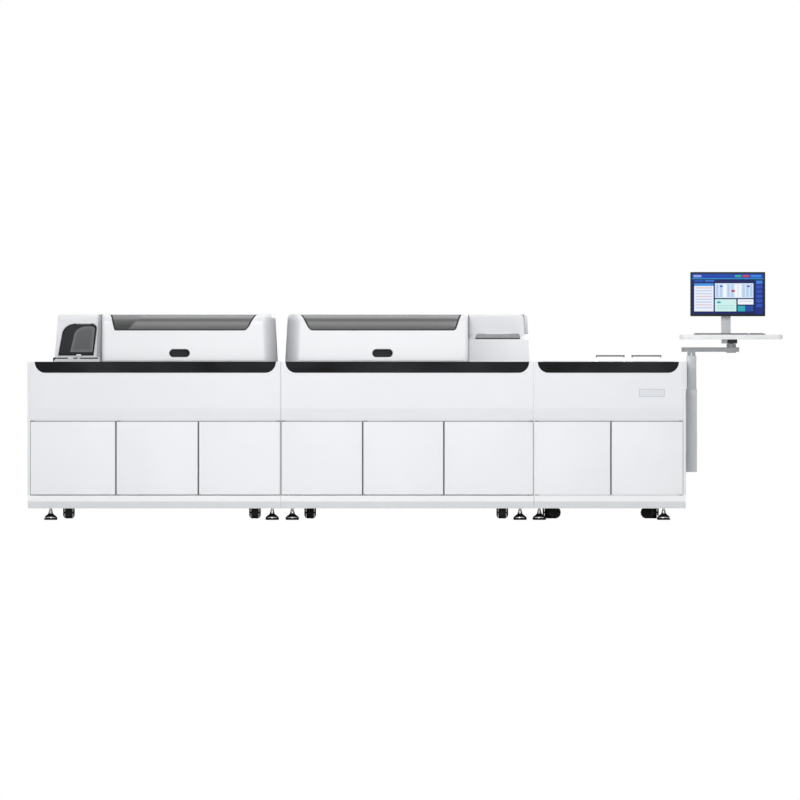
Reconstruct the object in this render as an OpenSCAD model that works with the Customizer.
// Laboratory line of three floor-standing modules joined side by side:
// a clinical chemistry module, an immunoassay module and a sample loader,
// with a workstation desk on a swivel arm at the right end.
// Millimetres, +Z up, +X to the right of someone facing the fronts, front faces at -Y.
// The origin is on the floor, under the centre of the whole line with its desk.

/* [Line] */
// Width of each analyser module
module_w = 1600; // [1400:10:1800]
// Width of the sample loader module
loader_w = 960; // [900:10:1100]
// Depth of the cabinets
depth = 1100; // [1000:10:1200]
// Height of the worktop
deck_z = 1000; // [960:5:1040]
// Height of the hoods above the worktop
hood_h = 300; // [280:5:340]
// Reach of the desk past the right end of the cabinets
desk_reach = 614; // [560:2:660]

/* [Cabinets] */
// Thickness of the outer end panels
end_t = 16; // [12:1:20]
// Sheet metal thickness
sheet = 2; // [1.5:0.5:3]
// Thickness of a folded door
door_t = 20; // [18:1:24]
// Gap between two doors
door_gap = 8; // [8:1:10]
// Height of the black trim at the top of each fascia
trim_h = 70; // [50:5:80]
// Width of an operating-height finger pocket in a lid
pocket_w = 130; // [110:5:150]

/* [Running gear] */
// Radius of a caster wheel
wheel_r = 37.5; // [35:0.5:38]
// Width of a caster wheel
wheel_w = 50; // [44:2:54]
// Distance from the swivel axis back to the wheel's axle
trail = 38; // [34:1:44]
// Radius of a levelling foot's pad
pad_r = 42.5; // [35:0.5:45]

/* [Workstation] */
// Width of the desk
desk_w = 654; // [600:2:700]
// Depth of the desk
desk_d = 400; // [360:10:440]
// Width of the monitor
monitor_w = 474; // [440:2:500]
// Height of the monitor
monitor_h = 280; // [260:2:300]

/* [Hidden] */
$fn = 48;
eps = 0.01;
RUN = 0.05;          // radial clearance of a pin that turns in its bore
SEAM = 0.6;          // gap between neighbouring fixed panels
loader_seam = 4;     // the wider gap where the loader joins the line
front_y = -depth / 2;
back_y = depth / 2;
line_w = 2 * module_w + loader_w;
left_x = -(line_w + desk_reach) / 2;
immuno_x = left_x + module_w;
loader_x = immuno_x + module_w;
right_x = loader_x + loader_w;
module_x = [left_x, immuno_x, loader_x];
module_width = [module_w, module_w, loader_w];

// Heights of the front, from the floor up
skirt_z = 73;
skirt_fold_z = 117;
skirt_top_z = 155;
door_z = 160;
door_top_z = 621;
fascia_z = 628;
fascia_fold_z = 705;
rail_h = 50;         // height of the base tubes
rail_z = skirt_top_z - rail_h;
tube = 40;           // side of a post
deck_t = 12;
mid_z = 600;         // underside of the front rail behind the fascia's foot
frame_in = 30;       // the frame stands this far behind the fronts
deck_in = 26;        // the worktop starts this far behind the fronts
trim_span = [[45, 1569], [30, 1570], [25, 916]];
trim_bend = 66;      // width of the trim's rounded ends

edge_gap = 1.8;      // gap between an outer door and its end panel

// Doors: [module, left edge, right edge, side of the hinge] with edges measured from the module's left
seams = [
    [0, end_t + edge_gap, 558, -1], [0, 558, 1079, -1], [0, 1079, module_w - 4, 1],
    [1, 4, 518, -1], [1, 518, 1031, -1], [1, 1031, module_w - 4, 1],
    [2, 4, 487, -1], [2, 487, loader_w - end_t - edge_gap, 1]
];
pivot_in = 14;       // from a door's hinged edge in to its pivot
pivot_r = 4;
function door_x0(i) = module_x[seams[i][0]] + seams[i][1] + (seams[i][1] > 30 ? door_gap / 2 : 0);
function door_x1(i) = module_x[seams[i][0]] + seams[i][2]
    - (seams[i][2] < module_width[seams[i][0]] - 30 ? door_gap / 2 : 0);
function pivot_x(i) = seams[i][3] < 0 ? door_x0(i) + pivot_in : door_x1(i) - pivot_in;
pivot_y = front_y + door_t / 2;

// Hoods
hood_top = deck_z + hood_h;
hood_wall = 4;
hinge_y = 34;        // where the lids pivot, and where the fixed housings start
hinge_z = hood_top - 12;
lid_back_y = 36;
house_y = 47.5;
hood_front_y = front_y + 30;
chem_lid_x = [left_x + 468, left_x + 1582];
immuno_lid_x = [immuno_x + 28, immuno_x + 1188];
alcove_x = [left_x + 168, left_x + 436];
alcove_lean = [24, -14];
alcove_y = front_y + 190;
flap_pin = [alcove_y - 9, deck_z + 245];
hopper_x = [immuno_x + 1191, immuno_x + 1572];
hopper_y = front_y + 70;
hopper_step_y = front_y + 290;
hopper_step_z = deck_z + 144;
hinge_r = 4;

// Window valleys of the two lids: [bottom left, bottom right, top left, top right] in X
chem_glass = [left_x + 554, left_x + 1367, left_x + 515, left_x + 1468];
immuno_glass = [immuno_x + 198, immuno_x + 1095, immuno_x + 106, immuno_x + 1155];
glass_z = deck_z + 198;      // foot of the window in the front face
glass_y = hood_front_y + 22; // where the window's foot meets the front face
glass_back_y = hood_front_y + 330;
glass_back_z = hood_top - 1;
glass_t = 5;

// Carousels: [centre x, centre y, radius of the well]
reagent_at = [left_x + 760, -150, 235];
reaction_at = [left_x + 1260, -150, 215];
incubator_at = [immuno_x + 420, -150, 235];
well_z = deck_z - 130;
spindle_r = 15;

// Probe arms: [mast x, mast y, reach, direction of the arm at rest in degrees]
chem_arm = [left_x + 1012, -10, 235, 250];
immuno_arm = [immuno_x + 735, -60, 230, 236];
mast_r = 16;

// Loader trays: X of each tray's left side and Y span of both
tray_x = [loader_x + 390, loader_x + 615];
tray_w = [185, 192];
tray_y = [-260, 200];
tray_deep = 40;

// Running gear: places measured along X from each module's left, one row at the front, one behind
foot_at = [[146, 1546], [73, 1512], [34, 820]];
caster_at = [[261, 1437], [186, 1400], [92, 752]];
foot_y = [front_y + 50, back_y - 50];
caster_y = [front_y + 170, back_y - 170];
swivel_deg = [0, 0, 0, 0, -68, 68];
caster_xs = [for (m = [0 : 2]) for (c = caster_at[m]) module_x[m] + c];
axle_z = 47;
axle_r = 6;
crown_z = axle_z + wheel_r + 4;
kingpin_r = 8;

// Workstation
col_w = 70;
col_y = front_y + 300;
col_x = right_x + col_w / 2 + 1;
sleeve_z = [303, 827];
shoulder_z = 1037;
arm_z = [1062, 1091];
arm_reach = 252;
desk_z = 1141;
desk_t = 30;
desk_x = right_x + desk_reach - desk_w / 2;
pivot_off = desk_x - col_x;
monitor_x = desk_x - 22;
stand_x = monitor_x - 12;
monitor_z = 1287;
monitor_y = col_y + 60;
tilt_z = monitor_z + 100;

// A box between two corners
module block(a, b) {
    translate(a) cube(b - a);
}

// An upright cylinder between two heights
module post(x, y, z0, z1, r) {
    translate([x, y, z0]) cylinder(h = z1 - z0, r = r);
}

// A cylinder lying along X between two places
module bar_x(x0, x1, y, z, r) {
    translate([x0, y, z]) rotate([0, 90, 0]) cylinder(h = x1 - x0, r = r);
}

// Points of an arc about (cx, cy), with one radius for each axis
function arc(cx, cy, rx, ry, a0, a1, n = 6) =
    [for (i = [0 : n]) let (a = a0 + (a1 - a0) * i / n) [cx + rx * cos(a), cy + ry * sin(a)]];

// Outline of a rectangle whose corners have radii [low left, low right, high right, high left]
function rounded(x0, y0, x1, y1, r, n = 6) = concat(
    r[0] > 0 ? arc(x0 + r[0], y0 + r[0], r[0], r[0], 180, 270, n) : [[x0, y0]],
    r[1] > 0 ? arc(x1 - r[1], y0 + r[1], r[1], r[1], 270, 360, n) : [[x1, y0]],
    r[2] > 0 ? arc(x1 - r[2], y1 - r[2], r[2], r[2], 0, 90, n) : [[x1, y1]],
    r[3] > 0 ? arc(x0 + r[3], y1 - r[3], r[3], r[3], 90, 180, n) : [[x0, y1]]
);

// A profile in Y and Z carried along X
module along_x(x0, x1, points) {
    translate([x0, 0, 0]) rotate([90, 0, 90]) linear_extrude(x1 - x0) polygon(points);
}

// A profile in X and Z carried along Y
module along_y(y0, y1, points) {
    translate([0, y1, 0]) rotate([90, 0, 0]) linear_extrude(y1 - y0) polygon(points);
}

// A profile in X and Y carried along Z
module along_z(z0, z1, points) {
    translate([0, 0, z0]) linear_extrude(z1 - z0) polygon(points);
}

// First and last X of the frame of module m
function frame_x0(m) = module_x[m] + (m == 0 ? end_t : 4);
function frame_x1(m) = module_x[m] + module_width[m] - (m == 2 ? end_t : 4);

// First and last X of the worktop and the upper panel of module m
function deck_x0(m) = module_x[m] + (m == 0 ? end_t : m == 2 ? loader_seam : 0) + SEAM / 2;
function deck_x1(m) = module_x[m] + module_width[m] - (m == 2 ? end_t : 0) - SEAM / 2;

// Welded frame of one cabinet, with its floor pan, caster plates and door pivots
module cabinet_frame(m) {
    x0 = frame_x0(m);
    x1 = frame_x1(m);
    y0 = front_y + frame_in;
    y1 = back_y - frame_in;
    top = deck_z - deck_t;
    doors = [for (i = [0 : len(seams) - 1]) if (seams[i][0] == m) i];
    color("gainsboro") difference() {
        union() {
            for (y = [y0, y1 - tube]) {
                block([x0, y, rail_z], [x1, y + tube, skirt_top_z]);
                block([x0, y, top - 30], [x1, y + tube, top]);
                for (x = [x0, x1 - tube])
                    block([x, y, skirt_top_z - eps], [x + tube, y + tube, top]);
            }
            for (x = [x0, x1 - tube]) {
                block([x, y0, rail_z], [x + tube, y1, skirt_top_z]);
                block([x, y0, top - 30], [x + tube, y1, top]);
            }
            block([x0, y0, mid_z], [x1, y0 + 25, mid_z + 30]);
            block([x0, y0, skirt_top_z - 3], [x1, y1, skirt_top_z]);
            for (i = doors) {
                x = module_x[m] + seams[i][2];
                if (x < x1 - 50)
                    block([x - 20, y0, skirt_top_z - eps], [x + 20, y0 + 25, mid_z + eps]);
                pivot_brackets(pivot_x(i));
            }
            for (c = caster_at[m]) {
                x = module_x[m] + c;
                block([x - 45, y0, rail_z - 8], [x + 45, caster_y[0] + 45, rail_z + eps]);
                block([x - 45, caster_y[1] - 45, rail_z - 8], [x + 45, y1, rail_z + eps]);
            }
        }
        for (c = caster_at[m])
            post(module_x[m] + c, caster_y[0], rail_z - 10, rail_z + 2, kingpin_r + RUN);
    }
}

// Foot and head brackets of one door, each with its pivot pin
module pivot_brackets(x) {
    y1 = front_y + frame_in + 15;
    block([x - 12, pivot_y - 9, skirt_top_z - eps], [x + 12, y1, skirt_top_z + 3.5]);
    post(x, pivot_y, skirt_top_z, door_z + 14, pivot_r);
    block([x - 12, pivot_y - 9, door_top_z + 2], [x + 12, y1, door_top_z + 5.5]);
    post(x, pivot_y, door_top_z - 14, door_top_z + 5, pivot_r);
}

// Folded skirts under the doors, with a return along each end of the line and along the back
module base_skirts() {
    low = 12;
    skirt = [
        [0, skirt_top_z - 0.5], [0, skirt_fold_z], [low, skirt_z], [low + 14, skirt_z],
        [low + 14, skirt_z + sheet], [low + 1.5, skirt_z + sheet], [sheet, skirt_fold_z + 0.5],
        [sheet, skirt_top_z - 0.5 - sheet], [frame_in, skirt_top_z - 0.5 - sheet],
        [frame_in, skirt_top_z - 0.5]
    ];
    color("whitesmoke") for (m = [0 : 2]) {
        translate([0, front_y, 0])
            along_x(module_x[m] + SEAM / 2, module_x[m] + module_width[m] - SEAM / 2, skirt);
        mirror([0, 1, 0]) translate([0, front_y, 0])
            along_x(module_x[m] + SEAM / 2, module_x[m] + module_width[m] - SEAM / 2, skirt);
    }
    color("whitesmoke") for (x = [left_x + 1, right_x - 1 - sheet])
        block([x, front_y + 28, skirt_z], [x + sheet, back_y - 28, skirt_top_z - 0.5]);
}

// Outline of the trim of module m in the front face, grown by g
function trim_outline(m, g) =
    let (x0 = module_x[m] + trim_span[m][0] - g, x1 = module_x[m] + trim_span[m][1] + g)
    concat(
        [[x0, deck_z + 1]],
        arc(x0 + trim_bend, deck_z, trim_bend, trim_h + g, 180, 270, 10),
        arc(x1 - trim_bend, deck_z, trim_bend, trim_h + g, 270, 360, 10),
        [[x1, deck_z + 1]]
    );

// Upper front panel of module m: a folded sheet with a notch for the trim
module fascia(m) {
    x0 = deck_x0(m);
    x1 = deck_x1(m);
    tuck = 9;
    color("whitesmoke") difference() {
        translate([0, front_y, 0]) along_x(x0, x1, [
            [0, deck_z], [0, fascia_fold_z], [tuck, fascia_z], [frame_in, fascia_z], [frame_in, fascia_z + sheet],
            [tuck + sheet, fascia_z + sheet], [sheet, fascia_fold_z], [sheet, deck_z - sheet],
            [deck_in, deck_z - sheet], [deck_in, deck_z]
        ]);
        along_y(front_y - 1, front_y + 27, trim_outline(m, 0.4));
    }
}

// Black trims, each a front plate with a lip over the edge of the worktop
module trim_bands() {
    color("#242426") for (m = [0 : 2]) difference() {
        along_y(front_y + 1, front_y + 26, trim_outline(m, 0));
        along_y(front_y + 4, front_y + 27, [
            [module_x[m], deck_z - trim_h - 1], [module_x[m] + module_width[m], deck_z - trim_h - 1],
            [module_x[m] + module_width[m], deck_z - 3], [module_x[m], deck_z - 3]
        ]);
        block([left_x, front_y, deck_z], [right_x, front_y + 30, deck_z + 2]);
    }
}

// End panels: folded pans with a rounded front edge, and two ribs that rest on the frame's posts
module end_panels() {
    color("whitesmoke") for (side = [0, 1]) {
        x0 = side == 0 ? left_x : right_x - end_t;
        outer = side == 0 ? [6, 0, 0, 6] : [0, 6, 6, 0];
        inner_x = side == 0 ? sheet : -1;
        difference() {
            along_z(skirt_top_z, deck_z, rounded(x0, front_y, x0 + end_t, back_y, outer));
            block([x0 + inner_x, front_y + 8, skirt_top_z + 2],
                  [x0 + inner_x + end_t - 1, back_y - 8, deck_z - 2]);
        }
        for (y = [front_y + frame_in, back_y - frame_in - tube])
            block([x0 + (side == 0 ? 1 : 0), y, skirt_top_z + 30],
                  [x0 + (side == 0 ? end_t : end_t - 1), y + tube, deck_z - 50]);
    }
}

// Rear panels with rows of cooling louvres
module back_panels() {
    louvre_w = 90;
    color("whitesmoke") for (m = [0 : 2]) {
        x0 = deck_x0(m) + 1;
        x1 = deck_x1(m) - 1;
        columns = m == 2 ? 2 : 4;
        difference() {
            union() {
                block([x0, back_y - sheet, skirt_top_z], [x1, back_y, deck_z]);
                for (x = [x0 + 12, x1 - 12 - sheet])
                    block([x, back_y - frame_in, skirt_top_z], [x + sheet, back_y - eps, deck_z - deck_t]);
            }
            for (c = [0 : columns - 1], r = [0 : 7])
                let (x = x0 + (x1 - x0) * (c + 0.5) / columns, z = 300 + r * 24)
                    block([x - louvre_w / 2, back_y - 5, z], [x + louvre_w / 2, back_y + 1, z + 8]);
        }
    }
}

// Worktop of module m before its wells are cut
module worktop(m) {
    block([deck_x0(m), front_y + deck_in, deck_z - deck_t], [deck_x1(m), back_y - 4, deck_z]);
}

// Cooled tub sunk in the worktop, with the spindle of its carousel
module well(at) {
    difference() {
        post(at[0], at[1], well_z - 6, deck_z, at[2] + 6);
        post(at[0], at[1], well_z, deck_z + 1, at[2]);
    }
    post(at[0], at[1], well_z - 3, deck_z - 30, spindle_r);
}

// Guide for a probe arm's mast, under the worktop
module mast_guide(at) {
    post(at[0], at[1], deck_z - 60, deck_z + 6, mast_r + 10);
}

// Rinse cup beside a carousel
module rinse_cup(x, y) {
    difference() {
        post(x, y, deck_z - deck_t, deck_z + 9, 17);
        post(x, y, deck_z - 6, deck_z + 10, 12);
    }
}

module deck_with(m, wells, masts, cups) {
    color("#e9ebec") difference() {
        union() {
            difference() {
                worktop(m);
                for (w = wells) post(w[0], w[1], deck_z - deck_t - 1, deck_z + 1, w[2] + 1);
                for (c = cups) post(c[0], c[1], deck_z - deck_t - 1, deck_z + 1, 15);
            }
            for (w = wells) well(w);
            for (a = masts) mast_guide(a);
            for (c = cups) rinse_cup(c[0], c[1]);
        }
        for (a = masts) post(a[0], a[1], deck_z - 61, deck_z + 7, mast_r + RUN);
    }
}

// Place of a rinse cup: on the arc that the needle of arm a sweeps
function cup_at(a, turn) = [a[0] + a[2] * cos(a[3] + turn), a[1] + a[2] * sin(a[3] + turn)];

// Worktop of the loader, with a sunk box for each rack tray and two rails of the rack transport
module loader_deck() {
    wall = 3;
    color("#e9ebec") difference() {
        union() {
            worktop(2);
            for (i = [0, 1])
                block([tray_x[i] - wall, tray_y[0] - wall, deck_z - tray_deep - 6],
                      [tray_x[i] + tray_w[i] + wall, tray_y[1] + wall, deck_z - 1]);
            for (y = [300, 370])
                block([loader_x + 60, y, deck_z - 1], [loader_x + 880, y + 8, deck_z + 5]);
        }
        for (i = [0, 1])
            block([tray_x[i], tray_y[0], deck_z - tray_deep - 3],
                  [tray_x[i] + tray_w[i], tray_y[1], deck_z + 1]);
    }
}

// Rack tray i: a lift-out pan with a rack guide comb and a bar handle at each end
module rack_tray(i) {
    fit = 1.5;
    floor_z = deck_z - tray_deep;
    x0 = tray_x[i] + fit;
    x1 = tray_x[i] + tray_w[i] - fit;
    y0 = tray_y[0] + fit;
    y1 = tray_y[1] - fit;
    handle_z = deck_z + 32;
    color("silver") {
        difference() {
            block([x0, y0, floor_z - 2.5], [x1, y1, deck_z - 4]);
            block([x0 + 2, y0 + 2, floor_z], [x1 - 2, y1 - 2, deck_z]);
        }
        for (k = [1 : 3]) {
            x = x0 + (x1 - x0) * k / 4;
            block([x - 1, y0 + 20, floor_z - 1], [x + 1, y1 - 20, floor_z + 12]);
        }
        for (y = [y0 + 6, y1 - 14]) {
            block([x0, y, handle_z], [x1, y + 8, handle_z + 10]);
            for (x = [x0, x1 - 8]) block([x, y, deck_z - 10], [x + 8, y + 8, handle_z + eps]);
        }
    }
}

// Drum of wedge-shaped reagent bottles, each with a round cap, turning on the spindle of its well
module reagent_carousel() {
    n = 24;
    r0 = 90;
    r1 = reagent_at[2] - 8;
    z0 = well_z + 8;
    z1 = deck_z - 26;
    color("#d9dcdf") translate([reagent_at[0], reagent_at[1], 0]) difference() {
        union() {
            translate([0, 0, z0]) cylinder(h = 10, r = r1 + 4);
            translate([0, 0, z0]) cylinder(h = z1 - z0 + 10, r = 45);
            translate([0, 0, z0 + 5]) linear_extrude(z1 - z0 - 5) difference() {
                circle(r = r1);
                circle(r = r0);
                for (k = [0 : n - 1]) rotate(k * 360 / n) translate([r0 - 4, -1.5]) square([r1 - r0 + 8, 3]);
            }
            for (k = [0 : n - 1]) rotate((k + 0.5) * 360 / n) translate([r1 - 34, 0, z1 - 1])
                cylinder(h = 15, r = 13);
        }
        translate([0, 0, z0 - 1]) cylinder(h = z1 - z0 + 20, r = spindle_r + RUN);
    }
}

// Ring of square cuvettes around an open hub, turning on its spindle
module reaction_carousel() {
    n = 60;
    r1 = reaction_at[2] - 6;
    z0 = well_z + 8;
    z1 = deck_z - 18;
    color("#c9ced2") translate([reaction_at[0], reaction_at[1], 0]) difference() {
        union() {
            translate([0, 0, z0]) cylinder(h = 12, r = r1);
            translate([0, 0, z0]) cylinder(h = z1 - z0, r = 50);
            translate([0, 0, z0 + 6]) linear_extrude(z1 - z0 - 6) difference() {
                circle(r = r1);
                circle(r = r1 - 26);
                for (k = [0 : n - 1]) rotate(k * 360 / n) translate([r1 - 18, -4]) square([10, 8]);
            }
        }
        translate([0, 0, z0 - 1]) cylinder(h = z1 - z0 + 10, r = spindle_r + RUN);
    }
}

// Incubator plate with three rings of round reaction vessels, turning on its spindle
module incubator_carousel() {
    r1 = incubator_at[2] - 6;
    z0 = well_z + 60;
    z1 = deck_z - 16;
    color("#c9ced2") translate([incubator_at[0], incubator_at[1], 0]) difference() {
        union() {
            translate([0, 0, z0]) cylinder(h = z1 - z0, r = r1);
            translate([0, 0, z1 - 1]) cylinder(h = 13, r = 42);
        }
        for (ring = [0 : 2]) let (n = 48 - ring * 8, r = r1 - 16 - ring * 24)
            for (k = [0 : n - 1]) rotate(k * 360 / n) translate([r, 0, z1 - 45]) cylinder(h = 50, r = 7, $fn = 24);
        translate([0, 0, z0 - 1]) cylinder(h = z1 - z0 + 20, r = spindle_r + RUN);
    }
}

// Probe arm: a mast in its guide, a tapered beam and the needle at its end
module probe_arm(a) {
    beam_z = deck_z + 150;
    beam_t = 30;
    color("#f2f3f4") translate([a[0], a[1], 0]) rotate(a[3]) {
        translate([0, 0, deck_z - 55]) cylinder(h = beam_z - deck_z + 60, r = mast_r);
        translate([0, 0, beam_z]) linear_extrude(beam_t) union() {
            circle(r = 30);
            translate([a[2], 0]) circle(r = 17);
            polygon([[4, -29.7], [a[2] + 1, -17], [a[2] + 1, 17], [4, 29.7]]);
        }
        translate([a[2], 0, deck_z + 18]) cylinder(h = beam_z - deck_z - 17, r = 2.5);
        translate([a[2], 0, beam_z - 18]) cylinder(h = 19, r = 7);
    }
}

// Front outline of a hood between x0 and x1: sides leaning in by lean, corners of radius r, set in by t
function hood_front(x0, x1, lean, r, t, top = hood_top) =
    let (foot = t > 0 ? deck_z - 2 : deck_z)
    concat(
        [[x0 + t, foot], [x1 - t, foot]],
        lean[1] > 0 ? arc(x1 - t - lean[1] - r, top - t - r, r, r, 4, 90) : [[x1 - t - lean[1], top - t]],
        lean[0] > 0 ? arc(x0 + t + lean[0] + r, top - t - r, r, r, 90, 176) : [[x0 + t, top - t]]
    );

// Side profile of a lid, set in by t: a nearly upright front, a rounded brow and a flat top
function lid_side(t) =
    let (foot = t > 0 ? deck_z - 2 : deck_z + 1, back = lid_back_y + (t > 0 ? 1 : 0))
    concat(
        [[hood_front_y + t, foot]],
        arc(hood_front_y + t + 76, hood_top - t - 66, 66, 66, 171, 90, 10),
        [[back, hood_top - t], [back, foot]]
    );

// Solid form of a lid, set in by t
module lid_form(x, lean, corner, t) {
    intersection() {
        along_x(x[0], x[1], lid_side(t));
        along_y(hood_front_y - 1, lid_back_y + 2, hood_front(x[0], x[1], lean, 26, t));
        along_z(deck_z - 3, hood_top + 1,
            rounded(x[0] + t, hood_front_y + t, x[1] - t, lid_back_y + 2, [corner[0] - t, corner[1] - t, 0, 0], 10));
    }
}

// Curved end of a window, from its foot at x0 to its head at x1
function glass_end(x0, x1, z0, z1) = [for (i = [0 : 12]) let (t = i / 12, s = 1 - t, w = x1 - x0, h = z1 - z0)
    [x0 + w * (3 * s * s * t * 0.44 + 3 * s * t * t * 0.33 + t * t * t),
     z0 + h * (3 * s * s * t * 0.02 + 3 * s * t * t * 0.62 + t * t * t)]];

// Front outline of a window, grown by g
function glass_outline(gl, g) =
    let (z0 = glass_z - g, z1 = hood_top + 12,
         left = glass_end(gl[0] - g, gl[2] - g, z0, z1), right = glass_end(gl[1] + g, gl[3] + g, z0, z1),
         n = len(left) - 1)
    concat([for (i = [0 : n]) left[n - i]], right);

// Slope of a window, as a band between two depths below its outer face
glass_slope = (glass_back_z - glass_z) / (glass_back_y - glass_y);
function slope_band(below, above, y1) =
    let (y0 = glass_y - 80, z0 = glass_z - 80 * glass_slope, z1 = glass_z + (y1 - glass_y) * glass_slope)
    [[y0, z0 - below], [y1, z1 - below], [y1, z1 + above], [y0, z0 + above]];

// Everything above a window's slope and inside its outline
module valley(gl, g, below) {
    intersection() {
        along_y(hood_front_y - 40, glass_back_y + g, glass_outline(gl, g));
        along_x(gl[2] - 60, gl[3] + 60, slope_band(below, 200, glass_back_y + g));
    }
}

// A finger pocket seen from the front: a slot with round ends, from y0 to y1
module pocket(x, w, h, y0, y1) {
    z = deck_z + 54;
    for (side = [-1, 1]) translate([x + side * (w - h) / 2, y1, z]) rotate([90, 0, 0]) cylinder(h = y1 - y0, r = h / 2);
    block([x - (w - h) / 2, y0, z - h / 2], [x + (w - h) / 2, y1, z + h / 2]);
}

// Lifting lid: a moulded shell with a seat for its window, a finger pocket and two hinge ears
module lid(x, lean, corner, gl, pocket_x) {
    ear_x = [x[0] + 40, x[1] - 64];
    color("#f4f5f6") difference() {
        union() {
            difference() {
                lid_form(x, lean, corner, 0);
                valley(gl, 0, glass_t);
                difference() {
                    lid_form(x, lean, corner, hood_wall);
                    valley(gl, hood_wall, glass_t + hood_wall);
                    pocket(pocket_x, pocket_w + 8, 60, hood_front_y - 1, hood_front_y + 40);
                }
                valley(gl, -18, glass_t + 30);
            }
            for (e = ear_x) {
                block([e, hinge_y - 9, hinge_z], [e + 24, lid_back_y, hood_top - 3]);
                bar_x(e, e + 24, hinge_y, hinge_z, 9.5);
            }
        }
        pocket(pocket_x, pocket_w - 8, 44, hood_front_y - 2, hood_front_y + 36);
        for (e = ear_x) bar_x(e - 1, e + 25, hinge_y, hinge_z, hinge_r + RUN);
    }
}

// Smoked window lying in its seat
module lid_window(gl) {
    play = 0.8;
    color([0.2, 0.21, 0.23, 0.6]) intersection() {
        along_y(hood_front_y - 40, glass_back_y - play, glass_outline(gl, -play));
        along_x(gl[2] - 60, gl[3] + 60, slope_band(glass_t, 0, glass_back_y - play));
        along_x(gl[2] - 60, gl[3] + 60, lid_side(0));
    }
}

// Hinge brackets of a lid: two arms out of the fixed housing, each with a pin for one ear
module lid_brackets(x) {
    for (e = [x[0] + 68, x[1] - 92]) {
        bar_x(e, e + 24, hinge_y, hinge_z, 7);
        block([e, hinge_y, hinge_z - 7], [e + 24, house_y + 60, hinge_z]);
        block([e, house_y + 30, hinge_z - 1], [e + 24, house_y + 60, hood_top - 3]);
    }
    bar_x(x[0] + 38, x[0] + 70, hinge_y, hinge_z, hinge_r);
    bar_x(x[1] - 70, x[1] - 38, hinge_y, hinge_z, hinge_r);
}

// Side profile of the fixed rear housing, set in by t
function house_side(t) = concat(
    [[house_y - (t > 0 ? 1 : 0), t > 0 ? deck_z - 2 : deck_z]],
    [[house_y - (t > 0 ? 1 : 0), hood_top - t]],
    arc(back_y - 90 - t, hood_top - 50 - t, 50, 50, 90, 0, 8),
    [[back_y - 40 - t, t > 0 ? deck_z - 2 : deck_z]]
);

module house_form(x0, x1, lean, t) {
    intersection() {
        along_x(x0, x1, house_side(t));
        along_y(house_y - 2, back_y, hood_front(x0, x1, lean, 26, t));
    }
}

// Outline of the smoked flap of the alcove, grown by g
function flap_outline(g) =
    let (x = left_x, z0 = deck_z + 40 - g)
    concat(
        [[x + 193 - g, z0]],
        arc(x + 298, deck_z + 165, 81 + g, 74 + g, 176, 90, 8),
        arc(x + 410, deck_z + 211, 28 + g, 28 + g, 90, -8, 6),
        [[x + 417 + g, z0]]
    );

// Hood of the sample alcove at the left end, in front of the fixed housing
module alcove_form(t) {
    y0 = alcove_y + t;
    foot = t > 0 ? deck_z - 2 : deck_z;
    intersection() {
        along_y(y0, house_y + 10, hood_front(alcove_x[0], alcove_x[1], alcove_lean, 30, t));
        along_x(alcove_x[0], alcove_x[1] - alcove_lean[1], concat(
            [[y0, foot]], arc(y0 + 24, hood_top - t - 24, 24, 24, 180, 90), [[house_y + 10, hood_top - t]],
            [[house_y + 10, foot]]
        ));
    }
}

// Fixed housing of the chemistry module, with the alcove, the flap's pin and the lid's brackets
module chem_housing() {
    color("#f4f5f6") union() {
        difference() {
            union() {
                house_form(alcove_x[0], chem_lid_x[1], [24, 15], 0);
                alcove_form(0);
            }
            house_form(alcove_x[0], chem_lid_x[1], [24, 15], hood_wall);
            alcove_form(hood_wall);
            along_y(alcove_y - 1, alcove_y + hood_wall + 1, flap_outline(-14));
        }
        for (x = [294, 406]) {
            bar_x(left_x + x, left_x + x + 10, flap_pin[0], flap_pin[1], 5);
            block([left_x + x, flap_pin[0], flap_pin[1] - 5], [left_x + x + 10, alcove_y + 1, flap_pin[1] + 5]);
        }
        bar_x(left_x + 298, left_x + 412, flap_pin[0], flap_pin[1], 2.5);
        lid_brackets(chem_lid_x);
    }
}

// Smoked flap of the alcove, hanging from its barrel, with a pull tab at its foot
module alcove_flap() {
    color([0.2, 0.2, 0.21, 0.7]) difference() {
        union() {
            along_y(alcove_y - 8, alcove_y - 2, flap_outline(0));
            block([left_x + 306, alcove_y - 8, flap_pin[1] - 12], [left_x + 404, alcove_y - 4, flap_pin[1]]);
            bar_x(left_x + 306, left_x + 404, flap_pin[0], flap_pin[1], 5);
            block([left_x + 306, alcove_y - 20, deck_z + 41], [left_x + 340, alcove_y - 7, deck_z + 47]);
        }
        bar_x(left_x + 305, left_x + 405, flap_pin[0], flap_pin[1], 2.5 + RUN);
    }
}

// Upper surface of the hopper's step at a place along Y
function step_z(y) = hopper_step_z - 4 + (y - hopper_y) * 32 / (hopper_step_y - hopper_y);

// Lower block of the hopper, set in by t
module hopper_low(t) {
    foot = t > 0 ? deck_z - 2 : deck_z;
    intersection() {
        along_x(hopper_x[0] + t, hopper_x[1] - t, [
            [hopper_y + t, foot], [hopper_y + t, step_z(hopper_y) - 8 - t], [hopper_y + 8 + t, step_z(hopper_y + 8) - t],
            [hopper_step_y + 2, step_z(hopper_step_y + 2) - t], [house_y + 5, step_z(hopper_step_y + 2) - t],
            [house_y + 5, foot]
        ]);
        along_y(hopper_y - 1, house_y + 6, [
            [hopper_x[0] + t, foot], [hopper_x[1] - t, foot], [hopper_x[1] - t - 14, hood_top],
            [hopper_x[0] + t, hood_top]
        ]);
    }
}

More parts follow.
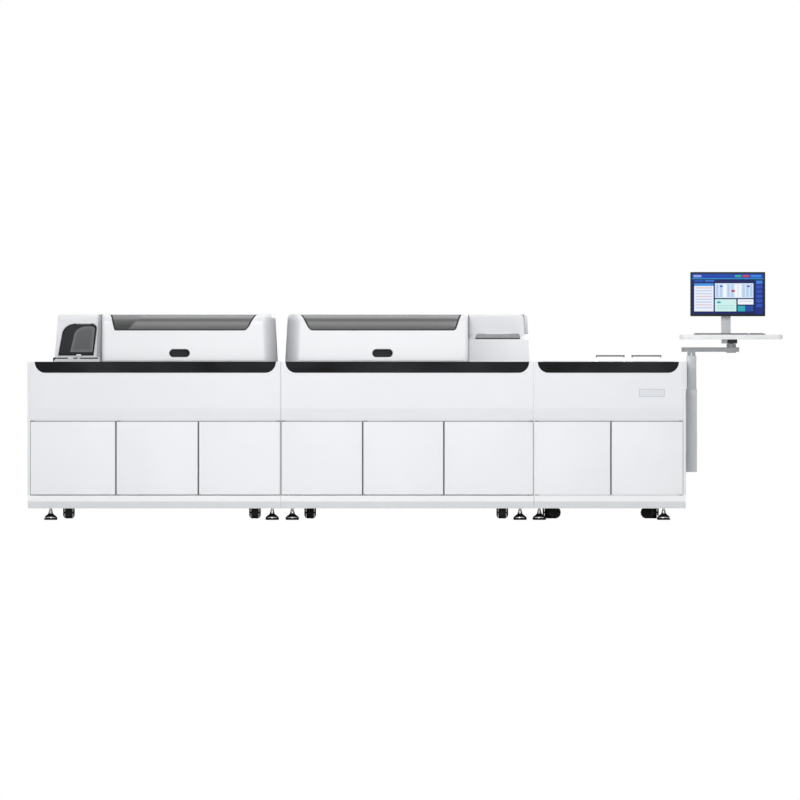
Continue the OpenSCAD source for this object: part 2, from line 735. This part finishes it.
// Upper block of the hopper, set in by t
module hopper_high(t) {
    y0 = hopper_step_y + t;
    foot = deck_z + 120;
    right = hopper_x[1] - 30;
    intersection() {
        along_x(hopper_x[0] + t, right - t, concat(
            [[y0, foot]], arc(y0 + 18, hood_top - t - 18, 18, 18, 175, 90), [[house_y + 10, hood_top - t]],
            [[house_y + 10, foot]]
        ));
        along_y(y0, house_y + 11, concat(
            [[hopper_x[0] + t, foot], [right - t, foot]], arc(right - t - 30, hood_top - t - 22, 22, 22, 4, 90),
            [[hopper_x[0] + t, hood_top - t]]
        ));
    }
}

// Fixed housing of the immunoassay module with the vessel hopper at its right
module immuno_housing() {
    pin = [hopper_step_y - 8, step_z(hopper_step_y - 8) + 7];
    color("#f4f5f6") union() {
        difference() {
            union() {
                house_form(immuno_lid_x[0], hopper_x[1], [15, 14], 0);
                hopper_low(0);
                hopper_high(0);
            }
            house_form(immuno_lid_x[0], hopper_x[1], [15, 14], hood_wall);
            hopper_low(hood_wall);
            hopper_high(hood_wall);
            block([immuno_x + 1250, -440, deck_z + 100], [immuno_x + 1495, -290, deck_z + 200]);
        }
        for (x = [1279, 1457])
            block([immuno_x + x, pin[0] - 6, pin[1] - 10], [immuno_x + x + 9, hopper_step_y + 1, pin[1] + 6]);
        bar_x(immuno_x + 1280, immuno_x + 1465, pin[0], pin[1], 2.5);
        lid_brackets(immuno_lid_x);
    }
}

// Smoked flap over the mouth of the vessel hopper
module hopper_flap() {
    pin = [hopper_step_y - 8, step_z(hopper_step_y - 8) + 7];
    y0 = hopper_y + 14;
    lift = 1.5;
    color([0.2, 0.2, 0.21, 0.75]) difference() {
        union() {
            intersection() {
                along_x(immuno_x + 1225, immuno_x + 1520, [
                    [y0, step_z(y0) + lift], [pin[0], step_z(pin[0]) + lift], [pin[0], step_z(pin[0]) + lift + 5],
                    [y0, step_z(y0) + lift + 5]
                ]);
                along_z(deck_z + 100, deck_z + 200, [
                    [immuno_x + 1225, y0], [immuno_x + 1520, y0], [immuno_x + 1505, pin[0]],
                    [immuno_x + 1470, pin[0] - 10], [immuno_x + 1276, pin[0] - 10], [immuno_x + 1240, pin[0]]
                ]);
            }
            block([immuno_x + 1292, pin[0] - 14, pin[1] - 5], [immuno_x + 1453, pin[0], pin[1] - 1]);
            bar_x(immuno_x + 1292, immuno_x + 1453, pin[0], pin[1], 5);
        }
        bar_x(immuno_x + 1291, immuno_x + 1454, pin[0], pin[1], 2.5 + RUN);
    }
}

// Low tray for urgent samples, standing on the worktop in front of the alcove
module stat_tray() {
    x0 = left_x + 160;
    x1 = left_x + 457;
    color("#d4d8db") difference() {
        block([x0, front_y + 30, deck_z], [x1, front_y + 180, deck_z + 28]);
        for (s = [[4, 95], [128, 154], [168, 284]])
            block([x0 + s[0], front_y + 29, deck_z + 19], [x0 + s[1], front_y + 172, deck_z + 25]);
        for (k = [0 : 4])
            block([x0 + 26 + k * 51, front_y + 50, deck_z + 20], [x0 + 66 + k * 51, front_y + 160, deck_z + 29]);
    }
}

// Folded door i with its two pivot blocks, a stiffener and a latch plate
module door(i) {
    x0 = door_x0(i);
    x1 = door_x1(i);
    mid = (x0 + x1) / 2;
    free = seams[i][3] < 0 ? x1 - 46 : x0 + 16;
    px = pivot_x(i);
    color("whitesmoke") difference() {
        union() {
            difference() {
                along_z(door_z, door_top_z, rounded(x0, front_y, x1, front_y + door_t, [5, 5, 0, 0]));
                block([x0 + sheet, front_y + sheet, door_z + sheet],
                      [x1 - sheet, front_y + door_t + 1, door_top_z - sheet]);
            }
            for (z = [door_z, door_top_z - 16])
                block([px - 11, front_y + 1, z], [px + 11, front_y + door_t, z + 16]);
            block([mid - 15, front_y + 1, door_z + 30], [mid + 15, front_y + 10, door_top_z - 30]);
            block([free, front_y + 1, 360], [free + 30, front_y + 16, 420]);
        }
        for (z = [door_z, door_top_z - 16])
            post(px, pivot_y, z - 1, z + 17, pivot_r + RUN);
    }
}

// Supply containers standing on the floor pans, each with a neck and a cap
module supply_tanks() {
    tanks = [
        [left_x + 110, 330], [left_x + 330, 330], [left_x + 700, 260], [left_x + 900, 260],
        [immuno_x + 110, 330], [immuno_x + 330, 330], [immuno_x + 700, 260], [loader_x + 560, 260]
    ];
    color("#e3e7ea") for (t = tanks) {
        x = t[0];
        top = skirt_top_z + t[1];
        along_z(skirt_top_z, top, rounded(x, 60, x + 180, 380, [20, 20, 20, 20]));
        post(x + 90, 130, top - 1, top + 20, 24);
        post(x + 90, 130, top + 19, top + 45, 34);
    }
}

// Levelling feet: a domed pad, a stem up to the frame and a lock nut
module levelling_feet() {
    color("#8d8f92") for (m = [0 : 2], f = foot_at[m], y = foot_y)
        translate([module_x[m] + f, y, 0]) {
            rotate_extrude() polygon([
                [0, 0], [pad_r - 3, 0], [pad_r, 3], [pad_r, 14], [pad_r - 2, 18], [pad_r - 9, 25],
                [pad_r - 18, 32], [17, 38], [15, 43], [11, 58], [9, 62], [0, 62]
            ]);
            cylinder(h = rail_z, r = 9);
            translate([0, 0, rail_z - 22]) cylinder(h = 14, r = 15, $fn = 6);
        }
}

// Side profile of a caster's leg in Y and Z, from its crown down to the axle
module leg_profile(x0, x1, top) {
    along_x(x0, x1, [
        [-24, top], [-24, crown_z - 2], [trail - 16, axle_z - 12], [trail + 16, axle_z + 12], [trail + 12, top]
    ]);
    bar_x(x0, x1, trail, axle_z, 20);
}

// Fork of a caster at the origin: a crown, two legs and the axle, trailing towards +Y
module fork(top, with_axle) {
    inner = wheel_w / 2 + 2;
    outer = wheel_w / 2 + 12;
    block([-outer, -24, crown_z], [outer, trail + 12, top]);
    leg_profile(-outer, -inner, top);
    leg_profile(inner, outer, top);
    if (with_axle) bar_x(-outer, outer, trail, axle_z, axle_r);
}

// Swivelling fork i with its kingpin
module caster_fork(i) {
    color("#2b2c2e") translate([caster_xs[i], caster_y[0], 0]) rotate(swivel_deg[i]) {
        fork(crown_z + 7.5, true);
        translate([0, 0, crown_z]) cylinder(h = 15.5, r = kingpin_r);
    }
}

// Fixed forks of the rear casters
module rear_caster_forks() {
    color("#2b2c2e") for (x = caster_xs)
        translate([x, caster_y[1] - trail, 0]) fork(rail_z - 8, true);
}

// A caster wheel about the X axis through the origin
module wheel() {
    half = wheel_w / 2;
    bore = axle_r + RUN;
    rotate([0, 90, 0]) rotate_extrude() polygon(concat(
        [[bore, -half]], [[14, -half], [16, -half + 4], [wheel_r - 11, -half + 4], [wheel_r - 9, -half]],
        arc(wheel_r - 6, -half + 6, 6, 6, -90, 0, 5), arc(wheel_r - 6, half - 6, 6, 6, 0, 90, 5),
        [[wheel_r - 9, half], [wheel_r - 11, half - 4], [16, half - 4], [14, half], [bore, half]]
    ));
}

module caster_wheel(i) {
    color("#3a3b3d") translate([caster_xs[i], caster_y[0], 0]) rotate(swivel_deg[i])
        translate([0, trail, axle_z]) wheel();
}

module rear_wheels() {
    color("#3a3b3d") for (x = caster_xs) translate([x, caster_y[1], axle_z]) wheel();
}

// Fixed outer tube of the desk's column, with two clamps on the end panel and three cover screws
module column_sleeve() {
    half = col_w / 2;
    color("#c4c6c8") difference() {
        union() {
            block([col_x - half, col_y - half, sleeve_z[0]], [col_x + half, col_y + half, sleeve_z[1]]);
            for (z = [360, 740])
                block([right_x, col_y - 50, z], [right_x + 12, col_y + 50, z + 60]);
            for (z = [700, 740, 780])
                translate([col_x, col_y - half + 1, z]) rotate([90, 0, 0]) cylinder(h = 4, r = 6);
        }
        block([col_x - half + 3.5, col_y - half + 3.5, sleeve_z[0] + 6],
              [col_x + half - 3.5, col_y + half - 3.5, sleeve_z[1] + 1]);
    }
}

// Sliding inner column with a shoulder and the arm's pin
module lift_column() {
    half = col_w / 2 - 4;
    color("#d0d2d4") {
        difference() {
            along_z(400, shoulder_z, rounded(col_x - half, col_y - half, col_x + half, col_y + half, [4, 4, 4, 4]));
            block([col_x - half + 4, col_y - half + 4, 399], [col_x + half - 4, col_y + half - 4, shoulder_z - 12]);
        }
        post(col_x, col_y, shoulder_z - 1, arm_z[0] - 1, 27);
        post(col_x, col_y, arm_z[0] - 2, arm_z[1] - 6, 12);
    }
}

// Swing arm between the column and the desk's pivot
module swing_arm() {
    x0 = right_x - 28;
    x1 = right_x + 338;
    color("#c9cbcd") difference() {
        union() {
            along_z(arm_z[0], arm_z[1], rounded(x0, col_y - 34, x1, col_y + 34, [30, 30, 30, 30]));
            post(desk_x, col_y, arm_z[0] - 6, desk_z - 27, 30);
            post(desk_x, col_y, arm_z[1], desk_z - 8, 14);
        }
        post(col_x, col_y, arm_z[0] - 1, arm_z[1] - 5, 12 + RUN);
        block([x0 + 96, col_y - 26, arm_z[0] - 1], [x1 - 95, col_y + 26, arm_z[1] - 4]);
    }
}

// Desk: a moulded top with a rounded edge and its pivot block underneath
module desk() {
    x0 = desk_x - desk_w / 2;
    x1 = desk_x + desk_w / 2;
    y0 = col_y - desk_d / 2;
    y1 = col_y + desk_d / 2;
    r = 34;
    color("#fafafa") difference() {
        union() {
            along_z(desk_z + 4, desk_z + desk_t - 1, rounded(x0, y0, x1, y1, [r, r, r, r]));
            along_z(desk_z, desk_z + desk_t, rounded(x0 + 4, y0 + 4, x1 - 4, y1 - 4, [r - 4, r - 4, r - 4, r - 4]));
            block([right_x + 225, col_y - 45, desk_z - 26], [right_x + 325, col_y + 45, desk_z + 1]);
        }
        post(desk_x, col_y, desk_z - 27, desk_z - 6, 14 + RUN);
    }
}

// Stand of the monitor: a base plate, a column and the fork that holds the tilt pin
module monitor_stand() {
    z0 = desk_z + desk_t;
    y = monitor_y;
    color("#2a2b2d") {
        along_z(z0, z0 + 6, rounded(stand_x - 105, y - 70, stand_x + 105, y + 85, [14, 14, 14, 14]));
        along_z(z0 + 5, tilt_z - 16, rounded(stand_x - 30, y + 26, stand_x + 30, y + 50, [6, 6, 6, 6]));
        for (side = [-1, 1]) {
            x = stand_x + side * 25 - 5;
            block([x, y + 26, tilt_z - 18], [x + 10, y + 50, tilt_z]);
            bar_x(x, x + 10, y + 38, tilt_z, 12);
        }
        bar_x(stand_x - 28, stand_x + 28, y + 38, tilt_z, 5);
    }
}

// Monitor: a slim screen, a rear boss and the barrel on the tilt pin
module monitor() {
    x0 = monitor_x - monitor_w / 2;
    x1 = monitor_x + monitor_w / 2;
    y = monitor_y;
    color("#232325") difference() {
        union() {
            along_y(y - 20, y - 2, rounded(x0, monitor_z, x1, monitor_z + monitor_h, [6, 6, 6, 6]));
            along_y(y - 3, y + 10, rounded(x0 + 50, monitor_z + 26, x1 - 50, monitor_z + monitor_h - 40,
                [20, 20, 20, 20]));
            block([stand_x - 17, y + 9, tilt_z - 14], [stand_x + 17, y + 38, tilt_z + 14]);
            bar_x(stand_x - 17, stand_x + 17, y + 38, tilt_z, 11);
        }
        block([x0 + 9, y - 21, monitor_z + 11], [x1 - 9, y - 18.5, monitor_z + monitor_h - 9]);
        bar_x(stand_x - 18, stand_x + 18, y + 38, tilt_z, 5 + RUN);
    }
}

// Keyboard: a wedge with rows of key caps
module keyboard() {
    x0 = right_x + 276 - 227;
    x1 = x0 + 454;
    y0 = col_y - desk_d / 2 + 14;
    z0 = desk_z + desk_t;
    slope = 4 / 130;
    color("#2e2f31") {
        along_x(x0, x1, [[y0, z0], [y0 + 130, z0], [y0 + 130, z0 + 8], [y0 + 126, z0 + 8], [y0, z0 + 4]]);
        for (row = [0 : 5]) {
            y = y0 + 8 + row * 19 + (row == 5 ? 3 : 0);
            keys = row == 0 ? [[0, 3], [3, 8.6], [8.6, 11.6], [12, 15], [15.4, 19.4]]
                 : [for (k = [0 : 14]) [k, k + 1], for (k = [0 : 3]) [15.4 + k, 16.4 + k]];
            for (k = keys) {
                kx = x0 + 9 + k[0] * 22.4;
                zk = z0 + 4 + (y - y0) * slope;
                block([kx, y, zk - 1], [kx + (k[1] - k[0]) * 22.4 - 2.5, y + 16, zk + 2.5]);
            }
        }
    }
}

// Frames, fascias and worktops of the modules
module chem_frame() { cabinet_frame(0); }
module immuno_frame() { cabinet_frame(1); }
module loader_frame() { cabinet_frame(2); }
module chem_fascia() { fascia(0); }
module immuno_fascia() { fascia(1); }
module loader_fascia() { fascia(2); }
module chem_deck() { deck_with(0, [reagent_at, reaction_at], [chem_arm], [cup_at(chem_arm, 19)]); }
module immuno_deck() { deck_with(1, [incubator_at], [immuno_arm], [cup_at(immuno_arm, 35)]); }

// Doors from left to right
module chem_door_left() { door(0); }
module chem_door_centre() { door(1); }
module chem_door_right() { door(2); }
module immuno_door_left() { door(3); }
module immuno_door_centre() { door(4); }
module immuno_door_right() { door(5); }
module loader_door_left() { door(6); }
module loader_door_right() { door(7); }

// Lids and their windows
module chem_lid() { lid(chem_lid_x, [0, 15], [50, 120], chem_glass, left_x + 960); }
module chem_lid_window() { lid_window(chem_glass); }
module immuno_lid() { lid(immuno_lid_x, [15, 0], [120, 50], immuno_glass, immuno_x + 643); }
module immuno_lid_window() { lid_window(immuno_glass); }

// Casters from left to right
module caster_fork_1() { caster_fork(0); }
module caster_fork_2() { caster_fork(1); }
module caster_fork_3() { caster_fork(2); }
module caster_fork_4() { caster_fork(3); }
module caster_fork_5() { caster_fork(4); }
module caster_fork_6() { caster_fork(5); }
module caster_wheel_1() { caster_wheel(0); }
module caster_wheel_2() { caster_wheel(1); }
module caster_wheel_3() { caster_wheel(2); }
module caster_wheel_4() { caster_wheel(3); }
module caster_wheel_5() { caster_wheel(4); }
module caster_wheel_6() { caster_wheel(5); }

// Arms and trays
module chem_probe_arm() { probe_arm(chem_arm); }
module immuno_probe_arm() { probe_arm(immuno_arm); }
module rack_tray_left() { rack_tray(0); }
module rack_tray_right() { rack_tray(1); }

chem_frame();
immuno_frame();
loader_frame();
base_skirts();
chem_fascia();
immuno_fascia();
loader_fascia();
trim_bands();
end_panels();
back_panels();
chem_deck();
immuno_deck();
loader_deck();
chem_housing();
immuno_housing();
levelling_feet();
rear_caster_forks();
column_sleeve();
supply_tanks();
stat_tray();
chem_door_left();
chem_door_centre();
chem_door_right();
immuno_door_left();
immuno_door_centre();
immuno_door_right();
loader_door_left();
loader_door_right();
chem_lid();
chem_lid_window();
immuno_lid();
immuno_lid_window();
alcove_flap();
hopper_flap();
caster_fork_1();
caster_fork_2();
caster_fork_3();
caster_fork_4();
caster_fork_5();
caster_fork_6();
caster_wheel_1();
caster_wheel_2();
caster_wheel_3();
caster_wheel_4();
caster_wheel_5();
caster_wheel_6();
rear_wheels();
lift_column();
swing_arm();
desk();
monitor_stand();
monitor();
keyboard();
reagent_carousel();
reaction_carousel();
chem_probe_arm();
incubator_carousel();
immuno_probe_arm();
rack_tray_left();
rack_tray_right();
